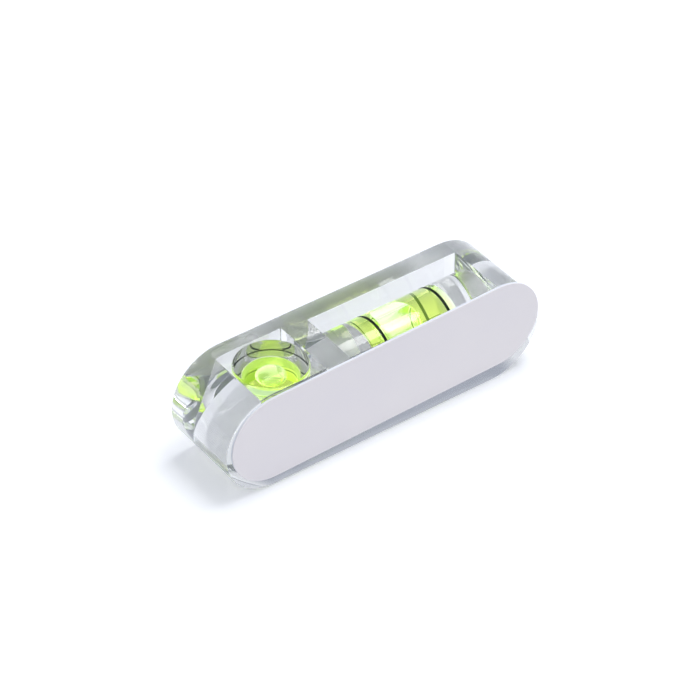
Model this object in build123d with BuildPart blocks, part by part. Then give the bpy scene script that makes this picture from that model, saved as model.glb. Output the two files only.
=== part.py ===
from build123d import *
import os

os.makedirs("parts", exist_ok=True)

# A clear oblong level block that rests on its long flat edge. A long vial lies along it, a
# short vial stands upright beside it, and a mounting pad with its liner covers the front
# face. Millimetres: +X runs along the block to the right, +Y goes to its back, +Z is up. The
# origin is the middle of the flat edge that the block rests on.

# Block and its two pockets
block_length = 50.4
block_height = 15.0
block_depth = 12.4
block_edge_break = 0.15
front_wall = 0.2
left_wall = 5.55
web = 3.75
level_pocket_floor = 4.9
plumb_pocket_floor = 3.6

# Vials
level_vial_radius = 4.73
level_vial_length = 24.0
plumb_vial_radius = 5.05
plumb_vial_length = 11.25
vial_wall = 1.2
vial_rim_break = 0.3
bore_taper = 0.12
bore_end_break = 1.0

# Solid closed end of each barrel, and the plug in its other end
level_closed_end = 5.3
plumb_closed_end = 3.0
level_plug_length = 5.2
plumb_plug_length = 2.0

# Clearances of the vials in their pockets
side_gap = 0.02
floor_gap = 0.02
end_gap = 0.1

# Painted marks, flush in shallow grooves round the barrels
mark_width = 0.4
mark_depth = 0.08
level_mark_spacing = 10.3
plumb_mark_spacing = 4.6

# Bubbles: the hollows at the top of the liquids
level_bubble_length = 6.6
level_bubble_height = 2.6
level_bubble_shift = 1.3
plumb_bubble_width = 4.0
plumb_bubble_height = 1.9

# Mounting pad and its liner, laid on by hand a little off the block's outline
pad_length = 49.4
pad_height = 13.1
pad_thickness = 0.25
liner_thickness = 0.12
pad_shift = 0.2
pad_lift = 1.05
pad_turn = 1.5

# Places and sizes that follow
level_pocket_width = 2 * (level_vial_radius + side_gap)
plumb_pocket_width = 2 * (plumb_vial_radius + side_gap)
level_pocket_length = level_vial_length + 2 * end_gap
plumb_pocket_length = 2 * (plumb_vial_radius + end_gap)
front_y = -block_depth / 2
left_x = -block_length / 2
plumb_x = left_x + left_wall + plumb_pocket_length / 2
level_left_x = left_x + left_wall + plumb_pocket_length + web
level_x = level_left_x + level_pocket_length / 2
level_y = front_y + front_wall + level_pocket_width / 2
plumb_y = front_y + front_wall + plumb_pocket_width / 2
level_z = level_pocket_floor + floor_gap + level_vial_radius
plumb_z = plumb_pocket_floor + floor_gap

front_plane = Plane.XZ.offset(-front_y)
top_plane = Plane.XY.offset(block_height)


def finish(part, name):
    part.label = name
    export_step(part, f"parts/{name}.step")


def profile_plane(plane):
    # The plane of the half profile: its X is the radius and its Y the vial's axis
    return Plane(origin=plane.origin, x_dir=plane.x_dir, z_dir=-plane.y_dir)


# Clear block: a bar with round ends, with a sharp-cornered pocket for each vial let in from
# the top
with BuildPart() as body:
    with BuildSketch(front_plane):
        with Locations((0, block_height / 2)):
            SlotOverall(block_length, block_height)
    extrude(amount=-block_depth)
    chamfer(body.faces().filter_by(Axis.Y).edges(), block_edge_break)
    for pocket_x, pocket_y, length, width, floor in (
        (level_x, level_y, level_pocket_length, level_pocket_width, level_pocket_floor),
        (plumb_x, plumb_y, plumb_pocket_length, plumb_pocket_width, plumb_pocket_floor),
    ):
        with BuildSketch(top_plane):
            with Locations((pocket_x, pocket_y)):
                Rectangle(length, width)
        extrude(amount=floor - block_height, mode=Mode.SUBTRACT)
finish(body.part, "body")


def make_vial(name, plane, radius, length, closed_end, plug_length, spacing, mark_names, bubble):
    # Each vial is drawn upright in its own plane: the plug's outer face is at zero on the
    # axis, the solid closed end is at the top. bubble is the hollow to leave in the liquid.
    axis = Axis(plane.origin, plane.z_dir)
    bore_radius = radius - vial_wall
    plug_radius = bore_radius - bore_taper
    bore_top = length - closed_end
    bore_middle = (plug_length + bore_top) / 2
    bore_foot = (plug_radius, plug_length)
    bore_belly = (bore_radius, bore_middle)
    bore_head = (plug_radius, bore_top)
    mark_bottoms = [bore_middle + side * spacing / 2 - mark_width / 2 for side in (-1, 1)]

    with BuildSketch(profile_plane(plane)) as bore:
        with BuildLine():
            Polyline(bore_foot, (0, plug_length), (0, bore_top), bore_head, bore_belly, bore_foot)
        make_face()
        bore_end = bore.vertices().group_by(Axis.Y)[-1].sort_by(Axis.X)[-1]
        chamfer(bore_end, bore_end_break)

    with BuildPart() as barrel:
        with BuildSketch(profile_plane(plane)) as wall:
            with Locations((radius / 2, length / 2)):
                Rectangle(radius, length)
            chamfer(wall.vertices().group_by(Axis.X)[-1], vial_rim_break)
            for bottom in mark_bottoms:
                with Locations((radius - mark_depth / 2, bottom + mark_width / 2)):
                    Rectangle(mark_depth, mark_width, mode=Mode.SUBTRACT)
            with Locations((plug_radius / 2, plug_length / 2)):
                Rectangle(plug_radius, plug_length, mode=Mode.SUBTRACT)
            add(bore.sketch_local, mode=Mode.SUBTRACT)
        revolve(axis=axis)
    finish(barrel.part, f"{name}_vial_barrel")

    with BuildPart() as plug:
        with BuildSketch(plane):
            Circle(plug_radius)
        extrude(amount=plug_length)
    finish(plug.part, f"{name}_vial_plug")

    with BuildPart() as liquid:
        with BuildSketch(profile_plane(plane)):
            add(bore.sketch_local)
        revolve(axis=axis)
        add(bubble, mode=Mode.SUBTRACT)
    finish(liquid.part, f"{name}_vial_liquid")

    for bottom, mark_name in zip(mark_bottoms, mark_names):
        with BuildPart() as mark:
            with BuildSketch(plane.offset(bottom)):
                Circle(radius)
                Circle(radius - mark_depth, mode=Mode.SUBTRACT)
            extrude(amount=mark_width)
        finish(mark.part, mark_name)


def make_bubble(x, y, top, width, height):
    # A ball cut off by the bore wall above it: width is its spread there, height its depth
    ball_radius = (width**2 / 4 + height**2) / (2 * height)
    with BuildPart() as bubble:
        with Locations((x, y, top - height + ball_radius)):
            Sphere(ball_radius)
    return bubble.part


# Long vial: its plug faces the right end of its pocket. The bubble lies against the top of the
# bore, a little left of the middle.
level_plane = Plane(
    origin=(level_x + level_vial_length / 2, level_y, level_z), x_dir=(0, 0, 1), z_dir=(-1, 0, 0)
)
level_bore_middle_x = level_x + (level_closed_end - level_plug_length) / 2
make_vial(
    "level",
    level_plane,
    level_vial_radius,
    level_vial_length,
    level_closed_end,
    level_plug_length,
    level_mark_spacing,
    ("level_mark_right", "level_mark_left"),
    make_bubble(
        level_bore_middle_x - level_bubble_shift,
        level_y,
        level_z + level_vial_radius - vial_wall,
        level_bubble_length,
        level_bubble_height,
    ),
)

# Short upright vial: its plug faces the pocket floor, and the bubble lies under the closed end
# of the bore.
plumb_plane = Plane(origin=(plumb_x, plumb_y, plumb_z), x_dir=(1, 0, 0), z_dir=(0, 0, 1))
make_vial(
    "plumb",
    plumb_plane,
    plumb_vial_radius,
    plumb_vial_length,
    plumb_closed_end,
    plumb_plug_length,
    plumb_mark_spacing,
    ("plumb_mark_lower", "plumb_mark_upper"),
    make_bubble(
        plumb_x,
        plumb_y,
        plumb_z + plumb_vial_length - plumb_closed_end,
        plumb_bubble_width,
        plumb_bubble_height,
    ),
)

# Adhesive pad on the front face, and the paper liner over it
with BuildPart() as mounting_pad:
    with BuildSketch(front_plane):
        with Locations((pad_shift, block_height / 2 + pad_lift)):
            SlotOverall(pad_length, pad_height, rotation=pad_turn)
    extrude(amount=pad_thickness)
finish(mounting_pad.part, "mounting_pad")

with BuildPart() as release_liner:
    with BuildSketch(front_plane.offset(pad_thickness)):
        with Locations((pad_shift, block_height / 2 + pad_lift)):
            SlotOverall(pad_length, pad_height, rotation=pad_turn)
    extrude(amount=liner_thickness)
finish(release_liner.part, "release_liner")
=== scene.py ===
import math
import bmesh
import bpy
from mathutils import Matrix, Vector


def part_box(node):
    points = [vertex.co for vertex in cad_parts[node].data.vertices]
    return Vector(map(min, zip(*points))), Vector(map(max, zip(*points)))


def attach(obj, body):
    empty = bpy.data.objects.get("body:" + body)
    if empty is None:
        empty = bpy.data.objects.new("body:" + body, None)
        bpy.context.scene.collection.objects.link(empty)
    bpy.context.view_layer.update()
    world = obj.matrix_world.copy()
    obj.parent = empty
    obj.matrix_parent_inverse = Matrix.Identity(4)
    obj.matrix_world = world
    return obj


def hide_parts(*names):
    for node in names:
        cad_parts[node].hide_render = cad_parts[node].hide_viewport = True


# A clear oblong block level: a long vial lies in it, a short one stands upright beside it, and a pad
# with its liner covers the front face. Everything is in metres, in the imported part's own frame.

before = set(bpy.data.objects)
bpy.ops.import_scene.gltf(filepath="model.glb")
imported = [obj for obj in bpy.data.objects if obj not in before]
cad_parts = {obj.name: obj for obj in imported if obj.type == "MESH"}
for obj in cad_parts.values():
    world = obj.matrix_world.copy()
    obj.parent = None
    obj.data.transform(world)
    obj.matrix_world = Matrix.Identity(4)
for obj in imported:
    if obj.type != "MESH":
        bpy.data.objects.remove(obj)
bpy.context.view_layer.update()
mm = 0.001


def middleOf(node):
    low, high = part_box(node)
    return (low + high) / 2


def sizeOf(node):
    low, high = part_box(node)
    return high - low


# Camera
cameraValues = {
    "azimuth": 36.35,  # degrees that the view turns from +Y towards +X
    "elevation": 39.60,
    "roll": 0.247,
    "distance": 0.487,
    "focalPixels": 3713.1,  # in a picture 700 pixels wide
    "pictureWidth": 700,
    "sensor": 36.0,
    "slideRight": 1.002 * mm,
    "slideUp": -1.543 * mm,
    "clipNear": 0.01,
    "clipFar": 50,
}


def makeCamera(values):
    azimuth, elevation, roll = (math.radians(values[key]) for key in ("azimuth", "elevation", "roll"))
    level = Vector((math.sin(azimuth), math.cos(azimuth), 0))
    ahead = level * math.cos(elevation) - Vector((0, 0, math.sin(elevation)))
    right = Vector((math.cos(azimuth), -math.sin(azimuth), 0))
    up = right.cross(ahead)
    turnedRight = right * math.cos(roll) + up * math.sin(roll)
    turnedUp = up * math.cos(roll) - right * math.sin(roll)
    slide = turnedRight * values["slideRight"] + turnedUp * values["slideUp"]
    place = middleOf("body") - ahead * values["distance"] - slide
    data = bpy.data.cameras.new("photoCamera")
    data.sensor_width = values["sensor"]
    data.lens = values["focalPixels"] / values["pictureWidth"] * values["sensor"]
    data.clip_start = values["clipNear"]
    data.clip_end = values["clipFar"]
    camera = bpy.data.objects.new("photoCamera", data)
    bpy.context.scene.collection.objects.link(camera)
    turn = Matrix((turnedRight, turnedUp, -ahead)).transposed()
    camera.matrix_world = Matrix.Translation(place) @ turn.to_4x4()
    bpy.context.scene.camera = camera


makeCamera(cameraValues)
print("camera ready")

# Floor, light tent and lamp
stageValues = {
    "floorGap": 0.02 * mm,  # air under the block, so that its base still reflects inside
    "floorSize": 6.0,
    "floorColor": (0.90, 0.91, 0.94),
    "floorRoughness": 0.9,
    "floorLift": 0.17,  # what the camera sees of the floor beyond its own colour, up to white
    "floorLiftInside": 0.04,  # the same where the clear block shows the floor
    "liftColor": (0.97, 0.98, 1.0),
    "tentGlow": (0.72, 0.74, 0.79),  # white cloth all round
    "gapGlow": (0.34, 0.37, 0.44),  # its dimmer seam, high at the back
    "gapDirection": (0.33, 0.64, 0.69),
    "gapStart": 0.76,  # cosines of the angles from the middle of the seam
    "gapFull": 0.94,
    "lampPower": 5.2,
    "lampSize": 0.5,
    "lampPlace": (0.28, 0.0, 1.0),
    "lightTurns": 28,  # light is caught inside the clear block for many turns
}


def makeFloor(values):
    mesh = bpy.data.meshes.new("floor")
    half = values["floorSize"] / 2
    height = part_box("body")[0].z - values["floorGap"]
    corners = [(-half, -half, height), (half, -half, height), (half, half, height), (-half, half, height)]
    mesh.from_pydata(corners, [], [(0, 1, 2, 3)])
    floor = bpy.data.objects.new("floor", mesh)
    bpy.context.scene.collection.objects.link(floor)
    material = bpy.data.materials.new("paleTable")
    material.use_nodes = True
    nodes, links = material.node_tree.nodes, material.node_tree.links
    shader = nodes["Principled BSDF"]
    shader.inputs["Base Color"].default_value = (*values["floorColor"], 1)
    shader.inputs["Roughness"].default_value = values["floorRoughness"]
    shader.inputs["Specular IOR Level"].default_value = 0.0
    glow = nodes.new("ShaderNodeEmission")
    glow.inputs["Color"].default_value = (*values["liftColor"], 1)
    rays = nodes.new("ShaderNodeLightPath")
    throughBlock = nodes.new("ShaderNodeMath")
    throughBlock.operation = "MAXIMUM"
    links.new(rays.outputs["Is Transmission Ray"], throughBlock.inputs[0])
    links.new(rays.outputs["Is Glossy Ray"], throughBlock.inputs[1])
    direct = nodes.new("ShaderNodeMath")
    direct.operation = "MULTIPLY"
    direct.inputs[1].default_value = values["floorLift"]
    links.new(rays.outputs["Is Camera Ray"], direct.inputs[0])
    lift = nodes.new("ShaderNodeMath")
    lift.operation = "MULTIPLY_ADD"
    lift.inputs[1].default_value = values["floorLiftInside"]
    links.new(throughBlock.outputs[0], lift.inputs[0])
    links.new(direct.outputs[0], lift.inputs[2])
    links.new(lift.outputs[0], glow.inputs["Strength"])
    both = nodes.new("ShaderNodeAddShader")
    links.new(shader.outputs[0], both.inputs[0])
    links.new(glow.outputs[0], both.inputs[1])
    links.new(both.outputs[0], nodes["Material Output"].inputs["Surface"])
    mesh.materials.append(material)


def makeLight(values):
    world = bpy.data.worlds.new("lightTent")
    bpy.context.scene.world = world
    world.use_nodes = True
    nodes, links = world.node_tree.nodes, world.node_tree.links
    direction = nodes.new("ShaderNodeTexCoord")
    toGap = nodes.new("ShaderNodeVectorMath")
    toGap.operation = "DOT_PRODUCT"
    toGap.inputs[1].default_value = Vector(values["gapDirection"]).normalized()
    ramp = nodes.new("ShaderNodeValToRGB")
    tent, gap = ramp.color_ramp.elements
    tent.position, gap.position = values["gapStart"], values["gapFull"]
    tent.color, gap.color = (*values["tentGlow"], 1), (*values["gapGlow"], 1)
    links.new(direction.outputs["Generated"], toGap.inputs[0])
    links.new(toGap.outputs["Value"], ramp.inputs[0])
    links.new(ramp.outputs[0], nodes["Background"].inputs["Color"])

    lampData = bpy.data.lights.new("softLamp", "AREA")
    lampData.energy = values["lampPower"]
    lampData.size = values["lampSize"]
    lamp = bpy.data.objects.new("softLamp", lampData)
    lamp.location = values["lampPlace"]
    lamp.rotation_mode = "QUATERNION"
    lamp.rotation_quaternion = (-lamp.location).to_track_quat("-Z", "Y")
    bpy.context.scene.collection.objects.link(lamp)

    bpy.context.scene.view_settings.view_transform = "Standard"
    turns = bpy.context.scene.cycles
    turns.max_bounces = values["lightTurns"]
    turns.glossy_bounces = values["lightTurns"]
    turns.transmission_bounces = values["lightTurns"]
    turns.transparent_max_bounces = values["lightTurns"]


makeFloor(stageValues)
makeLight(stageValues)
print("floor and light ready")

# Materials. Patterns lie on Object coordinates, and their scales are in repeats per metre.
acrylicIndex, liquidIndex = 1.49, 1.36
noiseLow, noiseHigh = 0.3, 0.7  # nearly all of a noise's values lie between these


def newMaterial(name):
    material = bpy.data.materials.new(name)
    material.use_nodes = True
    return material, material.node_tree.nodes, material.node_tree.links


def addNoise(nodes, links, scale, detail=3.0, stretch=(1, 1, 1)):
    place = nodes.new("ShaderNodeTexCoord")
    fit = nodes.new("ShaderNodeMapping")
    fit.inputs["Scale"].default_value = stretch
    noise = nodes.new("ShaderNodeTexNoise")
    noise.inputs["Scale"].default_value = scale
    noise.inputs["Detail"].default_value = detail
    links.new(place.outputs["Object"], fit.inputs["Vector"])
    links.new(fit.outputs[0], noise.inputs["Vector"])
    return noise.outputs["Fac"]


def spread(nodes, links, source, low, high):
    # a noise drawn out to low..high
    band = nodes.new("ShaderNodeMapRange")
    band.inputs["From Min"].default_value = noiseLow
    band.inputs["From Max"].default_value = noiseHigh
    band.inputs["To Min"].default_value = low
    band.inputs["To Max"].default_value = high
    links.new(source, band.inputs["Value"])
    return band.outputs["Result"]


def mixColors(nodes, links, factor, first, second):
    mix = nodes.new("ShaderNodeMix")
    mix.data_type = "RGBA"
    mix.inputs["A"].default_value = (*first, 1)
    mix.inputs["B"].default_value = (*second, 1)
    links.new(factor, mix.inputs["Factor"])
    return mix.outputs["Result"]


def addBump(nodes, links, height, strength, distance):
    bump = nodes.new("ShaderNodeBump")
    bump.inputs["Strength"].default_value = strength
    bump.inputs["Distance"].default_value = distance
    links.new(height, bump.inputs["Height"])
    links.new(bump.outputs[0], nodes["Principled BSDF"].inputs["Normal"])


def clearMaterial(name, values):
    # a see-through skin with faint clouds of tint and polish, and a slow waviness of the moulding; where
    # values give a glow, the skin also emits it as painted light
    material, nodes, links = newMaterial(name)
    shader = nodes["Principled BSDF"]
    shader.inputs["IOR"].default_value = values["index"]
    shader.inputs["Transmission Weight"].default_value = 1.0
    clouds = addNoise(nodes, links, values["cloudScale"])
    tint = mixColors(nodes, links, clouds, values["tintA"], values["tintB"])
    links.new(tint, shader.inputs["Base Color"])
    polish = spread(nodes, links, clouds, 0.0, values["haze"])
    links.new(polish, shader.inputs["Roughness"])
    waves = addNoise(nodes, links, values["waveScale"], detail=0.0)
    addBump(nodes, links, waves, values["waveStrength"], values["waveHeight"])
    if "soak" in values:
        volume = nodes.new("ShaderNodeVolumeAbsorption")
        volume.inputs["Color"].default_value = (*values["soak"], 1)
        volume.inputs["Density"].default_value = values["soakDensity"]
        links.new(volume.outputs[0], nodes["Material Output"].inputs["Volume"])
    # painted glow: the skin emits light of its own, though it is no lamp
    if "glow" in values:
        shader.inputs["Emission Color"].default_value = (*values["glow"], 1)
        shader.inputs["Emission Strength"].default_value = values["glowStrength"]
    return material


clearSkin = {
    "index": acrylicIndex,
    "cloudScale": 160,
    "tintA": (0.995, 1.0, 0.995),
    "tintB": (1.0, 1.0, 1.0),
    "haze": 0.012,
    "waveScale": 220,
    "waveStrength": 0.25,
    "waveHeight": 0.02 * mm,
}
blockAcrylicValues = clearSkin | {"soak": (0.80, 0.90, 0.90), "soakDensity": 2.0}
vialAcrylicValues = clearSkin | {"cloudScale": 300}
boreWallValues = clearSkin | {"index": acrylicIndex / liquidIndex, "haze": 0.0, "waveStrength": 0.1}
liquidValues = clearSkin | {
    "index": 1.0,  # the bore's wall and the bubble's skin do the bending
    "haze": 0.0,
    "tintA": (0.97, 1.0, 0.90),
    "waveStrength": 0.0,
    "soak": (0.90, 0.965, 0.06),
    "soakDensity": 220.0,
    # painted glow: yellow-green emission that stands in for the liquid's fluorescence and brightens it
    # whatever the lamps do
    "glow": (0.56, 1.0, 0.11),
    "glowStrength": 0.115,
}
bubbleSkinValues = clearSkin | {"index": liquidIndex, "haze": 0.0, "waveStrength": 0.1}

blockAcrylic = clearMaterial("blockAcrylic", blockAcrylicValues)
vialAcrylic = clearMaterial("vialAcrylic", vialAcrylicValues)
boreWall = clearMaterial("boreWall", boreWallValues)
vialLiquid = clearMaterial("vialLiquid", liquidValues)
bubbleSkin = clearMaterial("bubbleSkin", bubbleSkinValues)

markPaintValues = {
    "dark": (0.002, 0.008, 0.003),
    "worn": (0.010, 0.022, 0.012),
    "specular": 0.15,
    "roughness": (0.35, 0.6),
    "grainScale": 2500,
    "grainDetail": 5.0,
    "bumpStrength": 0.3,
    "bumpHeight": 0.01 * mm,
}


def makeMarkPaint(values):
    material, nodes, links = newMaterial("markPaint")
    shader = nodes["Principled BSDF"]
    shader.inputs["Specular IOR Level"].default_value = values["specular"]
    grain = addNoise(nodes, links, values["grainScale"], values["grainDetail"])
    links.new(mixColors(nodes, links, grain, values["dark"], values["worn"]), shader.inputs["Base Color"])
    links.new(spread(nodes, links, grain, *values["roughness"]), shader.inputs["Roughness"])
    addBump(nodes, links, grain, values["bumpStrength"], values["bumpHeight"])
    return material


padFoamValues = {
    "light": (0.82, 0.84, 0.90),
    # painted shade: the darker colour that fills the cell pits
    "pitShade": (0.74, 0.77, 0.86),
    "roughness": (0.75, 0.95),
    "cellScale": 7000,
    "bumpStrength": 0.5,
    "bumpHeight": 0.03 * mm,
}


def makePadFoam(values):
    # closed-cell foam, seen only at its cut edge; its cell pits are painted darker, as painted shade, where
    # its bump sinks
    material, nodes, links = newMaterial("padFoam")
    shader = nodes["Principled BSDF"]
    place = nodes.new("ShaderNodeTexCoord")
    cells = nodes.new("ShaderNodeTexVoronoi")
    cells.inputs["Scale"].default_value = values["cellScale"]
    links.new(place.outputs["Object"], cells.inputs["Vector"])
    depth = cells.outputs["Distance"]
    links.new(mixColors(nodes, links, depth, values["pitShade"], values["light"]), shader.inputs["Base Color"])
    links.new(spread(nodes, links, depth, *values["roughness"]), shader.inputs["Roughness"])
    addBump(nodes, links, depth, values["bumpStrength"], values["bumpHeight"])
    return material


linerPaperValues = {
    "cool": (0.775, 0.745, 0.765),
    "warm": (0.815, 0.780, 0.780),
    "specular": 0.35,
    "sheen": 0.05,
    "roughness": (0.5, 0.68),
    "cloudScale": 70,
    "cloudDetail": 4.0,
    "fibreScale": 900,
    "fibreDetail": 6.0,
    "fibreStretch": (0.25, 1, 1),
    "fibreShare": 0.35,  # of the change of colour, and the clouds have the rest
    "bumpStrength": 0.25,
    "bumpHeight": 0.012 * mm,
}


def makeLinerPaper(values):
    # silky paper: broad clouds of colour, and fine fibres along its length
    material, nodes, links = newMaterial("linerPaper")
    shader = nodes["Principled BSDF"]
    shader.inputs["Specular IOR Level"].default_value = values["specular"]
    shader.inputs["Sheen Weight"].default_value = values["sheen"]
    clouds = addNoise(nodes, links, values["cloudScale"], values["cloudDetail"])
    fibres = addNoise(nodes, links, values["fibreScale"], values["fibreDetail"], values["fibreStretch"])
    blend = nodes.new("ShaderNodeMath")
    blend.operation = "MULTIPLY_ADD"
    blend.inputs[1].default_value = values["fibreShare"]
    links.new(fibres, blend.inputs[0])
    links.new(spread(nodes, links, clouds, 0.0, 1 - values["fibreShare"]), blend.inputs[2])
    paper = mixColors(nodes, links, blend.outputs[0], values["cool"], values["warm"])
    links.new(paper, shader.inputs["Base Color"])
    links.new(spread(nodes, links, fibres, *values["roughness"]), shader.inputs["Roughness"])
    addBump(nodes, links, fibres, values["bumpStrength"], values["bumpHeight"])
    return material


markPaint = makeMarkPaint(markPaintValues)
padFoam = makePadFoam(padFoamValues)
linerPaper = makeLinerPaper(linerPaperValues)
print("materials ready")


# Mesh helpers
tiny = 1e-7  # metres; points this near to each other are one, and this near to the axis are on it


def addPiece(name, mesh, materials, slot, *nodes):
    for material in materials:
        mesh.materials.append(material)
    piece = bpy.data.objects.new(name, mesh)
    bpy.context.scene.collection.objects.link(piece)
    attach(piece, "root")
    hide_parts(*nodes)
    return piece


def meshFrom(made, name, sharpDegrees):
    # made becomes a mesh whose edges stay sharp from sharpDegrees up
    made.normal_update()
    for face in made.faces:
        face.smooth = True
    for edge in made.edges:
        edge.smooth = len(edge.link_faces) == 2 and edge.calc_face_angle(0) < math.radians(sharpDegrees)
    mesh = bpy.data.meshes.new(name)
    made.to_mesh(mesh)
    made.free()
    return mesh


def arcPoints(centre, radius, start, end, steps):
    turns = [math.radians(start + (end - start) * k / steps) for k in range(steps + 1)]
    return [(centre[0] + radius * math.cos(turn), centre[1] + radius * math.sin(turn)) for turn in turns]


def lathe(made, profile, origin, axis, around, segments, slotIndex, inward=False):
    # turns (radius, height) points about axis, with closed poles; inward faces look at the axis
    side = axis.cross(around).normalized()
    turns = [2 * math.pi * k / segments for k in range(segments)]
    rings = []
    for radius, height in profile:
        centre = origin + axis * height
        if radius < tiny:
            rings.append([made.verts.new(centre)])
            continue
        spokes = [around * math.cos(turn) + side * math.sin(turn) for turn in turns]
        rings.append([made.verts.new(centre + spoke * radius) for spoke in spokes])
    for lower, upper in zip(rings, rings[1:]):
        for k in range(segments):
            j = (k + 1) % segments
            if len(lower) == 1:
                corners = [lower[0], upper[j], upper[k]]
            elif len(upper) == 1:
                corners = [lower[k], lower[j], upper[0]]
            else:
                corners = [lower[k], lower[j], upper[j], upper[k]]
            face = made.faces.new(reversed(corners) if inward else corners)
            face.material_index = slotIndex


def prism(made, outline, lift):
    # a closed solid between an outline and its copy moved by lift
    near = [made.verts.new(point) for point in outline]
    far = [made.verts.new(point + lift) for point in outline]
    made.faces.new(list(reversed(near)))
    made.faces.new(far)
    for k in range(len(outline)):
        j = (k + 1) % len(outline)
        made.faces.new((near[k], near[j], far[j], far[k]))
    bmesh.ops.recalc_face_normals(made, faces=made.faces)


# Vials
vialValues = {
    "rimRound": 0.3 * mm,
    "rimSteps": 6,
    "boreRound": 1.0 * mm,  # at the closed end of the bore
    "boreRoundSteps": 12,
    "bulgeSteps": 24,
    "segments": 160,
    "liquidGap": 0.01 * mm,  # between the bore's wall and the liquid's skin
    "bubbleGap": 0.01 * mm,  # between the liquid's skin and the bubble's
    "film": 0.06 * mm,  # liquid between the bubble and the wall
    "bubbleSteps": 48,
    "shellSharp": 30,  # degrees from which an edge stays sharp
    "fillingSharp": 60,
}


def readVial(name, axis, around):
    # the sizes of one vial from its nodes' boxes; heights run along axis from the plug's outer face
    barrel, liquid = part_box(name + "_vial_barrel"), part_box(name + "_vial_liquid")
    centre = middleOf(name + "_vial_barrel")
    size = sizeOf(name + "_vial_barrel")
    length = abs(size.dot(axis))
    plugFace = centre - axis * length / 2
    ends = sorted(((corner - plugFace).dot(axis) for corner in liquid))
    return {
        "axis": axis,
        "around": around,
        "centre": centre,
        "plugFace": plugFace,
        "length": length,
        "foot": ends[0],
        "head": ends[1],
        "radius": (barrel[1].y - barrel[0].y) / 2,
        "endBore": sizeOf(name + "_vial_plug").y / 2,
        "middleBore": (liquid[1].y - liquid[0].y) / 2,
    }


def boreProfile(vial, values, shrink):
    # half profile of the bore: flat foot, slightly bulged side and a rounded closed end
    half = (vial["head"] - vial["foot"]) / 2
    last = 1 - values["boreRound"] / half
    points = [(0, vial["foot"] + shrink)]
    for k in range(values["bulgeSteps"] + 1):
        t = -1 + (1 + last) * k / values["bulgeSteps"]
        radius = vial["endBore"] + (vial["middleBore"] - vial["endBore"]) * (1 - t * t) - shrink
        points.append((radius, vial["foot"] + half + t * (half - shrink)))
    top = vial["head"] - shrink
    corner = top - points[-1][1]
    centre = (points[-1][0] - corner, top - corner)
    points += arcPoints(centre, corner, 0, 90, values["boreRoundSteps"])[1:]
    points.append((0, top))
    return points


def makeShell(name, vial, values):
    made = bmesh.new()
    corner, steps = values["rimRound"], values["rimSteps"]
    inner, top = vial["radius"] - corner, vial["length"]
    outside = [(0, 0)]
    outside += arcPoints((inner, corner), corner, -90, 0, steps)
    outside += arcPoints((inner, top - corner), corner, 0, 90, steps)
    outside.append((0, top))
    lathe(made, outside, vial["plugFace"], vial["axis"], vial["around"], values["segments"], 0)
    bore = boreProfile(vial, values, 0)
    lathe(made, bore, vial["plugFace"], vial["axis"], vial["around"], values["segments"], 1, inward=True)
    mesh = meshFrom(made, name + "_vial_shell", values["shellSharp"])
    nodes = (name + "_vial_barrel", name + "_vial_plug")
    addPiece(name + "_vial_shell", mesh, [vialAcrylic, boreWall], "vial_acrylic", *nodes)


def makeFilling(name, vial, values, bubbleCentre, bubbleProfile, press):
    # the liquid with a hollow in it, and the bubble's skin just inside the hollow: the liquid's
    # colour ends only at a skin of its own material
    made = bmesh.new()
    bore = boreProfile(vial, values, values["liquidGap"])
    lathe(made, bore, vial["plugFace"], vial["axis"], vial["around"], values["segments"], 0)
    for slotIndex, shrink in ((0, 0), (1, values["bubbleGap"])):
        bubble = bmesh.new()
        lathe(
            bubble, bubbleProfile, bubbleCentre, vial["axis"], vial["around"], values["segments"],
            slotIndex, inward=True,
        )
        for vertex in bubble.verts:
            press(vertex.co)
            vertex.co -= (vertex.co - bubbleCentre).normalized() * shrink
        part = bpy.data.meshes.new("bubble")
        bubble.to_mesh(part)
        bubble.free()
        made.from_mesh(part)
        bpy.data.meshes.remove(part)
    mesh = meshFrom(made, name + "_vial_filling", values["fillingSharp"])
    addPiece(name + "_vial_filling", mesh, [vialLiquid, bubbleSkin], "vial_liquid", name + "_vial_liquid")


def ovalProfile(radius, halfHeight, steps):
    turns = [math.pi * k / steps for k in range(1, steps)]
    side = [(math.sin(turn) * radius, -math.cos(turn) * halfHeight) for turn in turns]
    return [(0, -halfHeight)] + side + [(0, halfHeight)]


levelVial = readVial("level", Vector((-1, 0, 0)), Vector((0, 0, 1)))
plumbVial = readVial("plumb", Vector((0, 0, 1)), Vector((1, 0, 0)))

levelBubbleValues = {
    "length": 6.6 * mm,
    "width": 6.6 * mm,
    "depth": 4.8 * mm,  # below the top of the bore
    "belly": 3.0 * mm,  # height of its lower half
    "shift": -1.3 * mm,  # from the middle of the bore, towards the upright vial
}


def makeLevelBubble(values):
    centre = levelVial["centre"].copy()
    centre.x = middleOf("level_vial_liquid").x + values["shift"]
    centre.z += levelVial["middleBore"] - values["depth"] + values["belly"]
    flatten = values["belly"] / (values["width"] / 2)
    limit = levelVial["middleBore"] - vialValues["film"]
    axisPoint = levelVial["centre"]

    def press(point):
        # flattens the bubble and keeps it inside the bore
        point.z = centre.z + (point.z - centre.z) * flatten
        across = Vector((0, point.y - axisPoint.y, point.z - axisPoint.z))
        if across.length > limit:
            across = across.normalized() * limit
            point.y, point.z = axisPoint.y + across.y, axisPoint.z + across.z

    profile = ovalProfile(values["width"] / 2, values["length"] / 2, vialValues["bubbleSteps"])
    makeFilling("level", levelVial, vialValues, centre, profile, press)


makeShell("level", levelVial, vialValues)
makeLevelBubble(levelBubbleValues)
print("long vial ready")

plumbBubbleValues = {
    "width": 4.1 * mm,
    "height": 2.4 * mm,
    "drop": 0.7 * mm,  # from the top of the bore to the bubble's middle
}


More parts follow.
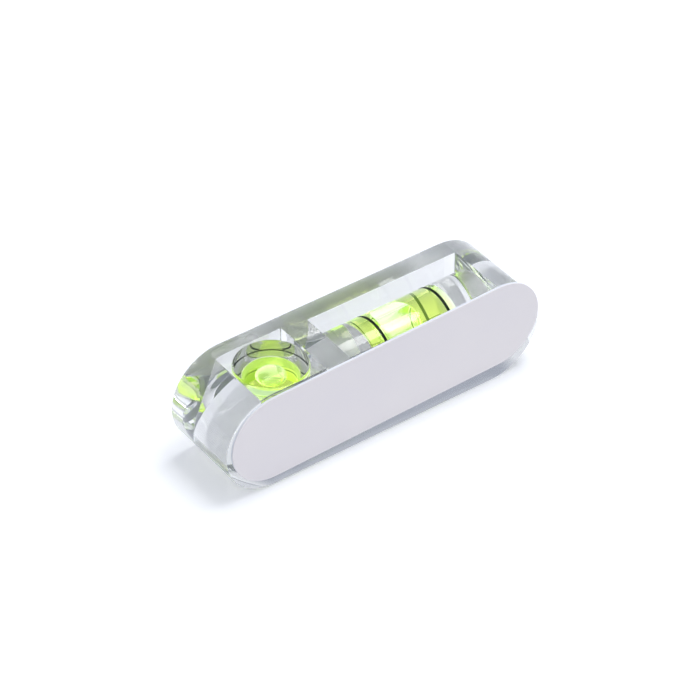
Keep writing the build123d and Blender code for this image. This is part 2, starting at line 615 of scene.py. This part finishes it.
def makePlumbBubble(values):
    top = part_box("plumb_vial_liquid")[1].z
    centre = plumbVial["centre"].copy()
    centre.z = top - values["drop"]
    limit = top - vialValues["film"]

    def press(point):
        # flattens the bubble against the top of the bore
        point.z = min(point.z, limit)

    profile = ovalProfile(values["width"] / 2, values["height"] / 2, vialValues["bubbleSteps"])
    makeFilling("plumb", plumbVial, vialValues, centre, profile, press)


makeShell("plumb", plumbVial, vialValues)
makePlumbBubble(plumbBubbleValues)
print("upright vial ready")

# Marks: two rings of paint round each vial
levelMarkValues = {
    "width": 0.4 * mm,
    "depth": 0.08 * mm,
    "proud": 0.015 * mm,
    "resolution": 160,
    "sharp": 40,
}
plumbMarkValues = levelMarkValues | {"width": 0.08 * mm}


def makeBandTree():
    # carries a small rectangle round a circle, and sets the ring on each point of a line
    tree = bpy.data.node_groups.new("markBands", "GeometryNodeTree")
    sockets = {}
    for name, kind in (
        ("Radius", "NodeSocketFloat"), ("Width", "NodeSocketFloat"), ("Thickness", "NodeSocketFloat"),
        ("Resolution", "NodeSocketInt"), ("Count", "NodeSocketInt"), ("First Place", "NodeSocketVector"),
        ("Step", "NodeSocketVector"), ("Turn", "NodeSocketVector"), ("Paint", "NodeSocketMaterial"),
    ):
        sockets[name] = tree.interface.new_socket(name, in_out="INPUT", socket_type=kind).identifier
    tree.interface.new_socket("Geometry", in_out="OUTPUT", socket_type="NodeSocketGeometry")
    nodes, links = tree.nodes, tree.links
    given = nodes.new("NodeGroupInput").outputs
    circle = nodes.new("GeometryNodeCurvePrimitiveCircle")
    section = nodes.new("GeometryNodeCurvePrimitiveQuadrilateral")
    ring = nodes.new("GeometryNodeCurveToMesh")
    line = nodes.new("GeometryNodeMeshLine")
    place = nodes.new("GeometryNodeInstanceOnPoints")
    whole = nodes.new("GeometryNodeRealizeInstances")
    coat = nodes.new("GeometryNodeSetMaterial")
    result = nodes.new("NodeGroupOutput")
    links.new(given["Resolution"], circle.inputs["Resolution"])
    links.new(given["Radius"], circle.inputs["Radius"])
    links.new(given["Thickness"], section.inputs["Width"])
    links.new(given["Width"], section.inputs["Height"])
    links.new(circle.outputs["Curve"], ring.inputs["Curve"])
    links.new(section.outputs["Curve"], ring.inputs["Profile Curve"])
    links.new(given["Count"], line.inputs["Count"])
    links.new(given["First Place"], line.inputs["Start Location"])
    links.new(given["Step"], line.inputs["Offset"])
    links.new(line.outputs["Mesh"], place.inputs["Points"])
    links.new(ring.outputs["Mesh"], place.inputs["Instance"])
    links.new(given["Turn"], place.inputs["Rotation"])
    links.new(place.outputs["Instances"], whole.inputs["Geometry"])
    links.new(whole.outputs["Geometry"], coat.inputs["Geometry"])
    links.new(given["Paint"], coat.inputs["Material"])
    links.new(coat.outputs["Geometry"], result.inputs["Geometry"])
    return tree, sockets


bandTree, bandSockets = makeBandTree()


def makeBands(name, vial, firstNode, lastNode, values):
    first, last = middleOf(firstNode), middleOf(lastNode)
    thickness = values["depth"] + values["proud"]
    holder = bpy.data.objects.new("bandHolder", bpy.data.meshes.new("bandHolder"))
    bpy.context.scene.collection.objects.link(holder)
    bands = holder.modifiers.new("bands", "NODES")
    bands.node_group = bandTree
    inputs = {
        "Radius": vial["radius"] + values["proud"] - thickness / 2,
        "Width": values["width"],
        "Thickness": thickness,
        "Resolution": values["resolution"],
        "Count": 2,
        "First Place": first,
        "Step": last - first,
        "Turn": Vector((0, 0, 1)).rotation_difference(vial["axis"]).to_euler(),
        "Paint": markPaint,
    }
    for socket, value in inputs.items():
        bands[bandSockets[socket]] = value
    graph = bpy.context.evaluated_depsgraph_get()
    evaluated = bpy.data.meshes.new_from_object(holder.evaluated_get(graph))
    holder.modifiers.clear()
    bpy.data.objects.remove(holder)
    made = bmesh.new()
    made.from_mesh(evaluated)
    bpy.data.meshes.remove(evaluated)
    bmesh.ops.remove_doubles(made, verts=made.verts, dist=tiny)
    bmesh.ops.recalc_face_normals(made, faces=made.faces)
    mesh = meshFrom(made, name, values["sharp"])
    addPiece(name, mesh, [markPaint], "mark_paint", firstNode, lastNode)


makeBands("level_mark_bands", levelVial, "level_mark_left", "level_mark_right", levelMarkValues)
makeBands("plumb_mark_bands", plumbVial, "plumb_mark_lower", "plumb_mark_upper", plumbMarkValues)
print("marks ready")

# Block
blockValues = {
    "sideGap": 0.02 * mm,  # air between the vials and their pockets
    "endGap": 0.1 * mm,
    "floorGap": 0.02 * mm,
    "pocketCorner": 0.12 * mm,
    "pocketCornerSteps": 6,
    "edgeRound": 0.15 * mm,
    "edgeSteps": 3,
    "endSteps": 72,
    "roundFrom": 40,  # degrees between faces from which an edge is rounded
    "sharp": 35,
}


def pocketOutline(low, high, radius, steps):
    points = []
    for x, y, start in (
        (high.x - radius, low.y + radius, -90),
        (high.x - radius, high.y - radius, 0),
        (low.x + radius, high.y - radius, 90),
        (low.x + radius, low.y + radius, 180),
    ):
        points += [Vector((px, py, low.z)) for px, py in arcPoints((x, y), radius, start, start + 90, steps)]
    return points


def makeCutter(node, values):
    low, high = (corner.copy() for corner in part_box(node))
    gap = Vector((values["endGap"], values["sideGap"], 0))
    low, high = low - gap, high + gap
    low.z -= values["floorGap"]
    made = bmesh.new()
    outline = pocketOutline(low, high, values["pocketCorner"], values["pocketCornerSteps"])
    height = 2 * (high.z - low.z)  # well past the block's top
    prism(made, outline, Vector((0, 0, height)))
    mesh = bpy.data.meshes.new("pocketCutter")
    made.to_mesh(mesh)
    made.free()
    cutter = bpy.data.objects.new("pocketCutter", mesh)
    bpy.context.scene.collection.objects.link(cutter)
    return cutter


def makeBlock(values):
    low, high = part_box("body")
    radius = (high.z - low.z) / 2
    outline = []
    for x, start in ((high.x - radius, -90), (low.x + radius, 90)):
        for px, pz in arcPoints((x, low.z + radius), radius, start, start + 180, values["endSteps"]):
            outline.append(Vector((px, low.y, pz)))
    made = bmesh.new()
    prism(made, outline, Vector((0, high.y - low.y, 0)))
    mesh = bpy.data.meshes.new("clear_block")
    made.to_mesh(mesh)
    made.free()
    blank = bpy.data.objects.new("blockBlank", mesh)
    bpy.context.scene.collection.objects.link(blank)
    cutters = [makeCutter(node, values) for node in ("level_vial_barrel", "plumb_vial_barrel")]
    for cutter in cutters:
        pocket = blank.modifiers.new("pocket", "BOOLEAN")
        pocket.object = cutter
        pocket.solver = "EXACT"
    edges = blank.modifiers.new("edges", "BEVEL")
    edges.width = values["edgeRound"]
    edges.segments = values["edgeSteps"]
    edges.limit_method = "ANGLE"
    edges.angle_limit = math.radians(values["roundFrom"])
    graph = bpy.context.evaluated_depsgraph_get()
    shaped = bpy.data.meshes.new_from_object(blank.evaluated_get(graph))
    blank.modifiers.clear()
    for spare in [blank, *cutters]:
        bpy.data.objects.remove(spare)
    made = bmesh.new()
    made.from_mesh(shaped)
    bpy.data.meshes.remove(shaped)
    mesh = meshFrom(made, "clear_block", values["sharp"])
    addPiece("clear_block", mesh, [blockAcrylic], "clear_acrylic", "body")
    print("block ready, faces", len(mesh.polygons))


makeBlock(blockValues)

# Pad and liner
sheetValues = {
    "turn": 1.5,  # degrees, as the nodes lie
    "endSteps": 48,
    "bite": 0.02 * mm,  # the pad's glue wets the block
    "sharp": 40,
}


def makeSheet(name, node, back, front, material, slot, values):
    # a bar with round ends, turned a little: its length and height follow from the node's box
    size, centre = sizeOf(node), middleOf(node)
    turn = math.radians(values["turn"])
    along, across = math.cos(turn), math.sin(turn)
    spine = (size.x - size.z) / (along - across)
    radius = (size.x - spine * along) / 2
    outline = []
    for side, start in ((1, -90), (-1, 90)):
        for px, pz in arcPoints((side * spine / 2, 0), radius, start, start + 180, values["endSteps"]):
            x = centre.x + px * along - pz * across
            z = centre.z + px * across + pz * along
            outline.append(Vector((x, front, z)))
    made = bmesh.new()
    prism(made, outline, Vector((0, back - front, 0)))
    addPiece(name, meshFrom(made, name, values["sharp"]), [material], slot, node)


padLow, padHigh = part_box("mounting_pad")
linerLow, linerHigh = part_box("release_liner")
padBack = padHigh.y + sheetValues["bite"]
makeSheet("adhesive_pad", "mounting_pad", padBack, padLow.y, padFoam, "pad_foam", sheetValues)
makeSheet("liner_sheet", "release_liner", linerHigh.y, linerLow.y, linerPaper, "liner_paper", sheetValues)
print("pad and liner ready")
